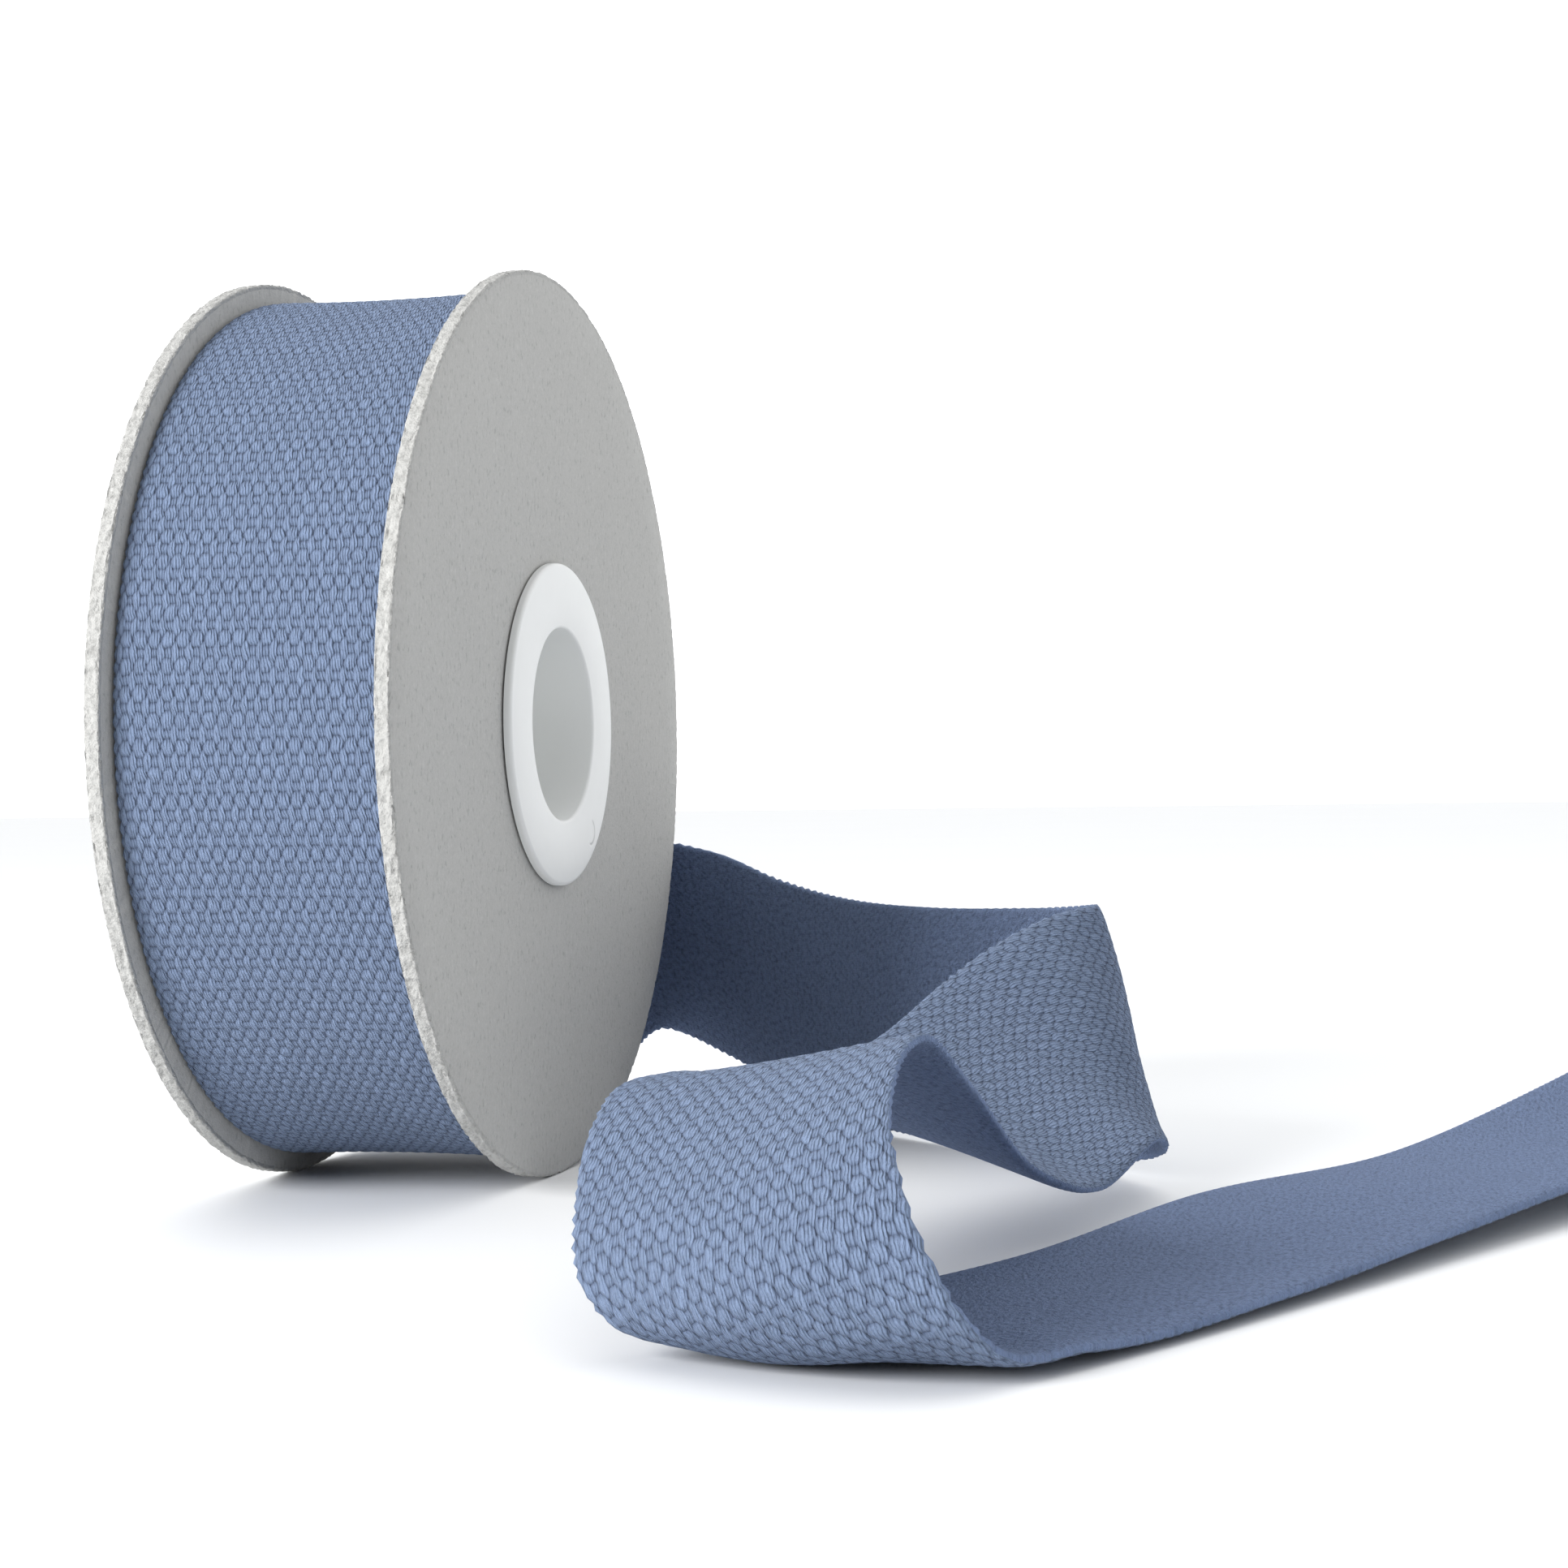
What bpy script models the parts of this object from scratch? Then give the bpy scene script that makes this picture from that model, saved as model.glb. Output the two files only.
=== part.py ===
"""A roll of flat cotton webbing between two grey board discs on a white plastic hub, its end drawn out.

Metres, +X along the spindle towards the near disc, +Y away from the viewer, +Z up, the floor at z = 0.
"""

import math

import bmesh
import bpy
import numpy as np

MM = 0.001

# Discs
DISC_DIAMETER = 136.0
BOARD_THICKNESS = 2.25
DISC_SPACING = 38.7
REST_FLAT_LENGTH = 8.0
AXIS_HEIGHT = DISC_DIAMETER / 2
NEAR_DISC_FACE = 0.0
FAR_DISC_FACE = -(DISC_SPACING + 2 * BOARD_THICKNESS)
# Puts the origin under the middle of the near board
ORIGIN_SHIFT = BOARD_THICKNESS / 2

# Hub
HUB_RING_DIAMETER = 48.8
HUB_RING_PROUD = 1.5
HUB_RING_CHAMFER = 0.6
HUB_TUBE_DIAMETER = 33.4
BORE_DIAMETER = 29.1
BORE_LIP_CHAMFER = 0.5
PIECE_GAP = 0.3

# Webbing
WEBBING_WIDTH = 38.0
WEBBING_THICKNESS = 1.6
ROLL_RADIUS = 65.2
ROLL_MIDDLE_SAG = 0.5
ROLL_EDGE_ROUND = 0.7
ROLL_MIDDLE = FAR_DISC_FACE + BOARD_THICKNESS + DISC_SPACING / 2

DISC_SEGMENTS = 144
HUB_SEGMENTS = 96
ROLL_SEGMENTS = 160
TAIL_STEP = 3.6
TAIL_STRIPS = 6

# The drawn-out end, a row per fold from the roll to the cut, set by hand to half a millimetre or so:
# the middle of the webbing, the line across it from the back selvedge to the front one, and how
# far its middle bulges towards the back.
TAIL_COLUMNS = ("fold", "x", "y", "z", "across_x", "across_y", "across_z", "bulge")
TAIL_FOLDS = (
    ("under the roll", ROLL_MIDDLE, 12, 2.6, 1, 0, 0, 0),
    ("leaving the roll", ROLL_MIDDLE, 24, 4.5, 1, 0, 0, 0),
    ("past the rims", ROLL_MIDDLE, 38, 9, 20, 0, -4, 0),
    ("lifting behind", -23, 63, 22, 24, 5, -29, 0),
    ("turning behind", -12, 79, 32, 7, 13, -34, 0),
    ("beside the disc", 5, 77, 28.5, 2, 8, -37, 0),
    ("coming round", 18, 70, 23.5, 1, 5, -38, 0),
    ("far run", 50, 42, 19.5, 0, 2, -38, 0),
    ("before the bend", 69, 28, 20, -3, -3, -38, 0),
    ("bend", 81, 12, 21, 3, -2, -38, 3.5),
    ("after the bend", 81.5, 0, 21, 17, -2, -33, 4),
    ("run back", 77.5, -20, 19.5, 31, -5, -20, 0),
    ("low middle", 72, -43, 14.5, 33, -6, -17, -1),
    ("rising", 66, -68, 16.5, 36, -7, -10, 0),
    ("before the crest", 62, -96, 24.5, 37, -4, 0, 0),
    ("crest", 61, -115, 27.5, 37, -3, 8, 0),
    ("over the crest", 61.5, -129, 23, 36, -4, 13, 0),
    ("steep front", 64.5, -140, 14.5, 34, -7, 15, 2),
    ("curl", 67.5, -142, 10, 33, -12, 13, 4),
    ("curling under", 71.5, -140, 6, 32, -18, 8, 4),
    ("under", 75, -135, 3.5, 32, -20, 2, 2),
    ("on the floor", 83, -121, 2, 32, -20, 0, 0),
    ("front of the floor run", 99, -88, 1.8, 33, -18, 0, 0),
    ("floor run", 116, -50, 3.6, 34, -16, -1, 0),
    ("loose wave", 140, 2, 4.2, 34, -16, 1, 0),
    ("lifting end", 164, 52, 5.5, 33, -16, -9, 0),
    ("cut", 176, 76, 8, 32, -16, -13, 0),
)

COLOURS = {
    "grey_board": ((0.42, 0.42, 0.41, 1), 0.9),
    "white_plastic": ((0.8, 0.81, 0.81, 1), 0.35),
    "blue_cotton": ((0.19, 0.26, 0.45, 1), 0.85),
}


def material(name):
    """A plain Principled material in the photo's colour."""
    found = bpy.data.materials.get(name)
    if found:
        return found
    colour, roughness = COLOURS[name]
    made = bpy.data.materials.new(name)
    made.use_nodes = True
    shader = made.node_tree.nodes["Principled BSDF"]
    shader.inputs["Base Color"].default_value = colour
    shader.inputs["Roughness"].default_value = roughness
    shader.inputs["Metallic"].default_value = 0.0
    return made


def finish(name, points, faces, material_name, smooth_angle):
    """Make one closed object from points in millimetres."""
    mesh = bpy.data.meshes.new(name)
    placed = [((x + ORIGIN_SHIFT) * MM, y * MM, z * MM) for x, y, z in points]
    mesh.from_pydata(placed, [], faces)
    body = bmesh.new()
    body.from_mesh(mesh)
    bmesh.ops.recalc_face_normals(body, faces=body.faces)
    body.to_mesh(mesh)
    body.free()
    mesh.validate()
    made = bpy.data.objects.new(name, mesh)
    bpy.context.scene.collection.objects.link(made)
    mesh.materials.append(material(material_name))
    mesh.shade_smooth()
    mesh.set_sharp_from_angle(angle=math.radians(smooth_angle))
    return made


def turned(name, profile, segments, material_name, flat_below=None):
    """Turn a closed profile of (x, radius) about the spindle axis, with an optional flat at the bottom."""
    points = []
    for number in range(segments):
        angle = 2 * math.pi * (number + 0.5) / segments
        for x, radius in profile:
            z = radius * math.sin(angle)
            if flat_below is not None:
                z = max(z, flat_below)
            points.append((x, radius * math.cos(angle), AXIS_HEIGHT + z))
    count = len(profile)
    faces = []
    for number in range(segments):
        following = (number + 1) % segments
        for corner in range(count):
            after = (corner + 1) % count
            faces.append(
                (
                    number * count + corner,
                    number * count + after,
                    following * count + after,
                    following * count + corner,
                )
            )
    return finish(name, points, faces, material_name, 30)


def add_disc(name, outer_face, inner_face):
    """A board disc with the hub's hole, resting on a short flat."""
    rim = DISC_DIAMETER / 2
    hole = HUB_TUBE_DIAMETER / 2 + PIECE_GAP
    low = min(outer_face, inner_face)
    high = max(outer_face, inner_face)
    flat = -math.sqrt(rim**2 - (REST_FLAT_LENGTH / 2) ** 2)
    profile = ((low, hole), (high, hole), (high, rim), (low, rim))
    disc = turned(name, profile, DISC_SEGMENTS, "grey_board", flat)
    drop = (AXIS_HEIGHT + flat) * MM
    for vertex in disc.data.vertices:
        if vertex.co.z < drop + 1e-6:
            vertex.co.z = 0.0
    return disc


def add_hub():
    """The white hub: a tube through both discs with a ring on each outer face."""
    ring = HUB_RING_DIAMETER / 2
    tube = HUB_TUBE_DIAMETER / 2
    bore = BORE_DIAMETER / 2
    near_seat = NEAR_DISC_FACE + PIECE_GAP
    far_seat = FAR_DISC_FACE - PIECE_GAP
    near_end = NEAR_DISC_FACE + HUB_RING_PROUD
    far_end = FAR_DISC_FACE - HUB_RING_PROUD
    profile = (
        (far_seat, tube),
        (near_seat, tube),
        (near_seat, ring),
        (near_end - HUB_RING_CHAMFER, ring),
        (near_end, ring - HUB_RING_CHAMFER),
        (near_end, bore + BORE_LIP_CHAMFER),
        (near_end - BORE_LIP_CHAMFER, bore),
        (far_end + BORE_LIP_CHAMFER, bore),
        (far_end, bore + BORE_LIP_CHAMFER),
        (far_end, ring - HUB_RING_CHAMFER),
        (far_end + HUB_RING_CHAMFER, ring),
        (far_seat, ring),
    )
    return turned("hub", profile, HUB_SEGMENTS, "white_plastic")


def add_roll():
    """The wound webbing as one solid, slightly hollow across its face."""
    half = WEBBING_WIDTH / 2
    core = HUB_TUBE_DIAMETER / 2 + PIECE_GAP
    profile = (
        (ROLL_MIDDLE - half, core),
        (ROLL_MIDDLE + half, core),
        (ROLL_MIDDLE + half, ROLL_RADIUS - ROLL_EDGE_ROUND),
        (ROLL_MIDDLE + half - ROLL_EDGE_ROUND, ROLL_RADIUS),
        (ROLL_MIDDLE + half / 2, ROLL_RADIUS - 0.7 * ROLL_MIDDLE_SAG),
        (ROLL_MIDDLE, ROLL_RADIUS - ROLL_MIDDLE_SAG),
        (ROLL_MIDDLE - half / 2, ROLL_RADIUS - 0.7 * ROLL_MIDDLE_SAG),
        (ROLL_MIDDLE - half + ROLL_EDGE_ROUND, ROLL_RADIUS),
        (ROLL_MIDDLE - half, ROLL_RADIUS - ROLL_EDGE_ROUND),
    )
    return turned("webbing_roll", profile, ROLL_SEGMENTS, "blue_cotton")


def smooth_rows(rows, along, step):
    """Rows about a step apart on a smooth curve through the given ones."""
    slopes = np.gradient(rows, along, axis=0)
    stations = np.linspace(along[0], along[-1], round((along[-1] - along[0]) / step) + 1)
    place = np.clip(np.searchsorted(along, stations, side="right") - 1, 0, len(along) - 2)
    length = (along[place + 1] - along[place])[:, None]
    part = (stations[:, None] - along[place][:, None]) / length
    start = (1 + 2 * part) * (1 - part) ** 2
    end = part**2 * (3 - 2 * part)
    leaving = part * (1 - part) ** 2 * length
    arriving = part**2 * (part - 1) * length
    return (
        start * rows[place]
        + end * rows[place + 1]
        + leaving * slopes[place]
        + arriving * slopes[place + 1]
    )


def tail_surface():
    """The middle surface of the drawn-out end and its normals, as grids of along by across."""
    folds = {name: np.array(values) for name, values in zip(TAIL_COLUMNS, zip(*TAIL_FOLDS))}
    middle = np.stack([folds["x"], folds["y"], folds["z"]], axis=1)
    across = np.stack([folds["across_x"], folds["across_y"], folds["across_z"]], axis=1)
    across = across / np.linalg.norm(across, axis=1, keepdims=True)
    along = np.append(0, np.cumsum(np.linalg.norm(np.diff(middle, axis=0), axis=1)))
    rows = np.hstack([middle, across, folds["bulge"][:, None]])
    rows = smooth_rows(rows, along, TAIL_STEP)
    middle = rows[:, 0:3]
    across = rows[:, 3:6] / np.linalg.norm(rows[:, 3:6], axis=1, keepdims=True)
    travel = np.gradient(middle, axis=0)
    outward = np.cross(across, travel)
    outward = outward / np.linalg.norm(outward, axis=1, keepdims=True)
    share = np.linspace(-1, 1, TAIL_STRIPS + 1)
    bulge = rows[:, 6][:, None] * (1 - share**2)[None, :]
    surface = (
        middle[:, None, :]
        + across[:, None, :] * (share * WEBBING_WIDTH / 2)[None, :, None]
        - outward[:, None, :] * bulge[:, :, None]
    )
    normals = np.cross(np.gradient(surface, axis=1), np.gradient(surface, axis=0))
    return surface, normals / np.linalg.norm(normals, axis=2, keepdims=True)


def add_tail():
    """The drawn-out end as one sheet with a real thickness."""
    surface, normals = tail_surface()
    lengths, widths = surface.shape[:2]
    half = normals * WEBBING_THICKNESS / 2
    top = (surface + half).reshape(-1, 3)
    under = (surface - half).reshape(-1, 3)
    points = np.vstack([top, under])
    offset = lengths * widths
    faces = []
    for i in range(lengths - 1):
        for j in range(widths - 1):
            a = i * widths + j
            faces.append((a, a + 1, a + widths + 1, a + widths))
            faces.append((a + offset, a + widths + offset, a + widths + 1 + offset, a + 1 + offset))
    for i in range(lengths - 1):
        for a, b in ((i * widths, (i + 1) * widths), ((i + 2) * widths - 1, (i + 1) * widths - 1)):
            faces.append((a, b, b + offset, a + offset))
    for j in range(widths - 1):
        for a, b in ((j + 1, j), ((lengths - 1) * widths + j, (lengths - 1) * widths + j + 1)):
            faces.append((a, b, b + offset, a + offset))
    return finish("webbing_tail", points.tolist(), faces, "blue_cotton", 50)


def main():
    for old in list(bpy.data.objects):
        bpy.data.objects.remove(old, do_unlink=True)
    add_disc("disc_near", NEAR_DISC_FACE, NEAR_DISC_FACE - BOARD_THICKNESS)
    add_disc("disc_far", FAR_DISC_FACE, FAR_DISC_FACE + BOARD_THICKNESS)
    add_hub()
    add_roll()
    add_tail()


main()
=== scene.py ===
"""Looks of a roll of flat cotton webbing between two grey board discs, on a white studio floor."""

import math

import bpy
import numpy as np
from mathutils import Matrix, Vector


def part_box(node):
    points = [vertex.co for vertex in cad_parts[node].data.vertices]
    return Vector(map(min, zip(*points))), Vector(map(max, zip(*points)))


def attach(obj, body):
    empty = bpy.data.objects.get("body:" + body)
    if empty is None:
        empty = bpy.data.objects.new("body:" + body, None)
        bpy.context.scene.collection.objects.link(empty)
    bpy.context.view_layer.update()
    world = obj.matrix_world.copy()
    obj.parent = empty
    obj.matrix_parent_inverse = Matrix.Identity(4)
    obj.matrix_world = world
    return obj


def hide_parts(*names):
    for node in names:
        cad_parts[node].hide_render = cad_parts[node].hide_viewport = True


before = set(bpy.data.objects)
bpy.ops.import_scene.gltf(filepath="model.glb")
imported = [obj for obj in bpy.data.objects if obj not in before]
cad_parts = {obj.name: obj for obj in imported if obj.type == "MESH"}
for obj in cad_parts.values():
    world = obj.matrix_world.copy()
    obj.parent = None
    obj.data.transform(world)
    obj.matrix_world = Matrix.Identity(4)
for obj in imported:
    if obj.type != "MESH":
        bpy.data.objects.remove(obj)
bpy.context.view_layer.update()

bl_info = {
    "name": "Roll of cotton webbing",
    "version": (1, 0, 0),
    "blender": (4, 5, 0),
    "location": "3D View > Sidebar > Webbing",
    "description": "Builds the looks of a roll of cotton webbing and its studio",
    "category": "Object",
}

MM = 0.001
RANDOM_SEED = 7

# Places read from the frame, in millimetres
NEAR_LOW, NEAR_HIGH = (np.array(corner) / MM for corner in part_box("disc_near"))
FAR_LOW, FAR_HIGH = (np.array(corner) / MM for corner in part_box("disc_far"))
HUB_LOW, HUB_HIGH = (np.array(corner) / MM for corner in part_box("hub"))
ROLL_LOW, ROLL_HIGH = (np.array(corner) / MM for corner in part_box("webbing_roll"))
DISC_RADIUS = NEAR_HIGH[2] / 2
AXIS_HEIGHT = DISC_RADIUS
ROLL_RADIUS = ROLL_HIGH[2] - AXIS_HEIGHT
ROLL_MIDDLE = (ROLL_LOW[0] + ROLL_HIGH[0]) / 2

# Discs, in millimetres
HOLE_RADIUS = 17.0
REST_FLAT_LENGTH = 8.0
REST_FLAT_REACH = 0.001
BOARD_EDGE_ROUND = 0.35
RIM_NICK_DEPTH = 0.12
RIM_BAND = 0.45
RIM_WAVER = 0.6
DISC_SEGMENTS = 720

# Hub, in millimetres
HUB_RING_RADIUS = 24.4
HUB_TUBE_RADIUS = 16.7
BORE_RADIUS = 14.55
HUB_EDGE_ROUND = 0.6
HUB_LIP_ROUND = 0.5
HUB_SEAT_GAP = 0.3
HUB_SEGMENTS = 160
GATE_MARK_Y = 12.6
GATE_MARK_Z = 51.4
GATE_MARK_RADIUS = 1.9
GATE_MARK_WIDTH = 0.35

# Webbing, in millimetres, columns across its width and periods along it
WEBBING_WIDTH = 38.0
WEBBING_THICKNESS = 1.6
WEAVE_COLUMNS = 19
WEAVE_PERIOD = 3.65
ROLL_BEAD = 0.3
TAIL_BEAD = 0.5
BACK_RELIEF = 0.05
ROLL_CORE_RADIUS = 17.0
ROLL_MIDDLE_SAG = 0.5
ROLL_EDGE_ROUND = 0.7
ROLL_EDGE_POWER = 24
TAIL_EDGE_ROUND = 0.45
TAIL_EDGE_POWER = 30
ROLL_QUADS_A_COLUMN = 5
ROLL_QUADS_A_PERIOD = 8
TAIL_QUADS_A_COLUMN = 3
TAIL_QUADS_A_PERIOD = 4
TAIL_FINE_STEPS = 4000

# The drawn-out end, a row per fold from the roll to the cut: the middle of the webbing,
# the line across it from the back selvedge to the front one, and how far its middle bulges.
TAIL_COLUMNS = ("fold", "x", "y", "z", "across_x", "across_y", "across_z", "bulge")
TAIL_SHIFT = NEAR_HIGH[0]
TAIL_FOLDS = (
    ("under the roll", ROLL_MIDDLE - TAIL_SHIFT, 12, 2.6, 1, 0, 0, 0),
    ("leaving the roll", ROLL_MIDDLE - TAIL_SHIFT, 24, 4.5, 1, 0, 0, 0),
    ("past the rims", ROLL_MIDDLE - TAIL_SHIFT, 38, 9, 20, 0, -4, 0),
    ("lifting behind", -23, 63, 22, 24, 5, -29, 0),
    ("turning behind", -12, 79, 32, 7, 13, -34, 0),
    ("beside the disc", 5, 77, 28.5, 2, 8, -37, 0),
    ("coming round", 18, 70, 23.5, 1, 5, -38, 0),
    ("far run", 50, 42, 19.5, 0, 2, -38, 0),
    ("before the bend", 69, 28, 20, -3, -3, -38, 0),
    ("bend", 81, 12, 21, 3, -2, -38, 3.5),
    ("after the bend", 81.5, 0, 21, 17, -2, -33, 4),
    ("run back", 77.5, -20, 19.5, 31, -5, -20, 0),
    ("low middle", 72, -43, 14.5, 33, -6, -17, -1),
    ("rising", 66, -68, 16.5, 36, -7, -10, 0),
    ("before the crest", 62, -96, 24.5, 37, -4, 0, 0),
    ("crest", 61, -115, 27.5, 37, -3, 8, 0),
    ("over the crest", 61.5, -129, 23, 36, -4, 13, 0),
    ("steep front", 64.5, -140, 14.5, 34, -7, 15, 2),
    ("curl", 67.5, -142, 10, 33, -12, 13, 4),
    ("curling under", 71.5, -140, 6, 32, -18, 8, 4),
    ("under", 75, -135, 3.5, 32, -20, 2, 2),
    ("on the floor", 83, -121, 2, 32, -20, 0, 0),
    ("front of the floor run", 99, -88, 1.8, 33, -18, 0, 0),
    ("floor run", 116, -50, 3.6, 34, -16, -1, 0),
    ("loose wave", 140, 2, 4.2, 34, -16, 1, 0),
    ("lifting end", 164, 52, 5.5, 33, -16, -9, 0),
    ("cut", 176, 76, 8, 32, -16, -13, 0),
)

# The yarns that show in one cell of the woven face: how far the cell is shifted, half the width
# in columns, half the length in periods, and how high they stand.
FACE_YARNS = (
    ("single warp", (0.0, 0.0), 0.32, 0.42, 1.0),
    ("paired warp", (0.5, 0.5), 0.5, 0.35, 0.95),
    ("weft", (0.5, 0.0), 0.34, 0.22, 0.72),
)
PAIR_SPLIT_WIDTH = 0.08
PAIR_SPLIT_DEPTH = 0.25

# How each side of the webbing looks: how many fibres lie across a column, how far they lean and how
# often they end in a period, how high fibres, fuzz and strands stand on the weave, between which heights
# the painted shade of the gaps gives way to yarn, and how much yarn shows even in a shaded gap.
FACE_LOOK = {
    "fibres": (9.0, 5.0, 3.0),
    "fibre_relief": 0.8,
    "fuzz_relief": 0.35,
    "strand_relief": 0.36,
    "gap_shade_heights": (0.08, 0.78),
    "gap_shade_cover": 0.0,
}
BACK_LOOK = {
    "fibres": (4.0, 2.0, 9.0),
    "fibre_relief": 0.9,
    "fuzz_relief": 1.2,
    "strand_relief": 0.12,
    "gap_shade_heights": (0.0, 0.8),
    "gap_shade_cover": 0.5,
}
BACK_TUFTS = (2.6, 1.6, 4.2)
STRANDS_A_COLUMN = 5.0
STRAND_LEAN = 1.5
# Band of painted highlight along the selvedges, in columns in from the edge.
SELVEDGE_HIGHLIGHT_BAND = (0.35, 0.05)

# Stage, in metres
FLOOR_REACH = 6.0
KEY_LIGHT_PLACE = (-0.75, -1.15, 0.6)
KEY_LIGHT_TARGET = (0.03, -0.03, 0.05)
KEY_LIGHT_SIZE = 0.7
ROOM_COLOUR = (0.98, 0.99, 1.0, 1.0)
ROOM_BLEND = (-0.4, 0.35)

# Camera, fitted to the picture
CAMERA_PLACE = (139.585, -420.0, 58.55)
CAMERA_YAW = math.radians(-13.76)
CAMERA_ROLL = math.radians(-0.73)
CAMERA_LENS = 66.82
CAMERA_SENSOR = 36.0
CAMERA_NEAREST = 0.01


class WebbingSettings(bpy.types.PropertyGroup):
    """Sizes, colours and light that a user would change."""

    yarn_height: bpy.props.FloatProperty(
        name="Yarn height", description="How far the yarns of the woven face stand above its gaps",
        min=0.0, max=0.5 * MM, default=0.3 * MM, precision=5, unit="LENGTH",
    )
    rim_fray: bpy.props.FloatProperty(
        name="Rim fray", description="How deep the rims of the board discs are frayed",
        min=0.0, max=0.6 * MM, default=0.34 * MM, precision=5, unit="LENGTH",
    )
    yarn_colour: bpy.props.FloatVectorProperty(
        name="Yarn colour", description="Colour of the cotton yarn on the woven face",
        subtype="COLOR", size=3, min=0.0, max=1.0, default=(0.218, 0.288, 0.438),
    )
    # Painted shade: a dark colour laid down between the yarns, where shade falls in the weave.
    gap_shade_colour: bpy.props.FloatVectorProperty(
        name="Gap colour", description="Colour down between the yarns",
        subtype="COLOR", size=3, min=0.0, max=1.0, default=(0.045, 0.063, 0.115),
    )
    back_colour: bpy.props.FloatVectorProperty(
        name="Back colour", description="Colour of the fuzzier back of the webbing",
        subtype="COLOR", size=3, min=0.0, max=1.0, default=(0.23, 0.312, 0.52),
    )
    board_colour: bpy.props.FloatVectorProperty(
        name="Board colour", description="Colour of the grey board",
        subtype="COLOR", size=3, min=0.0, max=1.0, default=(0.435, 0.433, 0.42),
    )
    hub_colour: bpy.props.FloatVectorProperty(
        name="Hub colour", description="Colour of the plastic hub",
        subtype="COLOR", size=3, min=0.0, max=1.0, default=(0.8, 0.81, 0.8),
    )
    key_power: bpy.props.FloatProperty(
        name="Key light", description="Power of the large soft light",
        min=0.0, default=26.0, unit="POWER",
    )
    back_light: bpy.props.FloatProperty(
        name="Back light", description="Strength of the white room behind the roll",
        min=0.0, default=1.52,
    )
    front_light: bpy.props.FloatProperty(
        name="Front light", description="Strength of the white room in front of the roll",
        min=0.0, default=0.4,
    )


def add_mesh(name, points, faces, uv=None, smooth_angle=60):
    """Make a closed piece from points in millimetres, with a place on the weave for each if given."""
    mesh = bpy.data.meshes.new(name)
    mesh.from_pydata((np.asarray(points) * MM).tolist(), [], [tuple(face) for face in faces])
    if uv is not None:
        layer = mesh.uv_layers.new(name="Weave")
        corners = np.empty(len(mesh.loops), dtype=np.int32)
        mesh.loops.foreach_get("vertex_index", corners)
        layer.data.foreach_set("uv", np.asarray(uv, dtype=np.float32)[corners].ravel())
    mesh.shade_smooth()
    mesh.set_sharp_from_angle(angle=math.radians(smooth_angle))
    piece = bpy.data.objects.new(name, mesh)
    bpy.context.scene.collection.objects.link(piece)
    return piece


def give(piece, *materials):
    """Give a piece its materials, in the order of its material numbers."""
    numbers = np.empty(len(piece.data.polygons), dtype=np.int32)
    piece.data.polygons.foreach_get("material_index", numbers)
    piece.data.materials.clear()
    for material in materials:
        piece.data.materials.append(material)
    piece.data.polygons.foreach_set("material_index", numbers)


def unit(vectors):
    """The vectors, each scaled to a length of one."""
    return vectors / np.linalg.norm(vectors, axis=-1, keepdims=True)


def turned_faces(segments, count):
    """Faces of a closed profile turned about the spindle axis."""
    faces = []
    for number in range(segments):
        following = (number + 1) % segments
        for corner in range(count):
            after = (corner + 1) % count
            faces.append(
                (number * count + corner, number * count + after,
                 following * count + after, following * count + corner)
            )
    return faces


def turn_profile(profile, segments):
    """Points of a profile of (x, radius) turned about the axis, as segments by profile by three."""
    profile = np.asarray(profile, dtype=float)
    angle = 2 * math.pi * (np.arange(segments) + 0.5) / segments
    points = np.empty((segments, len(profile), 3))
    points[:, :, 0] = profile[None, :, 0]
    points[:, :, 1] = profile[None, :, 1] * np.cos(angle)[:, None]
    points[:, :, 2] = profile[None, :, 1] * np.sin(angle)[:, None]
    return points


def outward(faces, points):
    """The faces, turned round when they enclose a negative volume."""
    corners = np.asarray(points)[np.asarray(faces)]
    volume = np.einsum("ij,ij->", corners[:, 0], np.cross(corners[:, 1], corners[:, 2]))
    volume += np.einsum("ij,ij->", corners[:, 0], np.cross(corners[:, 2], corners[:, 3]))
    return [face[::-1] for face in faces] if volume < 0 else faces


def arc(centre, radius, start, end, steps):
    """Points of (x, radius) on an arc, with angles in degrees."""
    angles = np.radians(np.linspace(start, end, steps))
    return [(centre[0] + radius * math.cos(a), centre[1] + radius * math.sin(a)) for a in angles]


def shade(colour, factor):
    """The colour made darker or lighter by a factor, and never above white."""
    return [min(1.0, part * factor) for part in colour]


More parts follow.
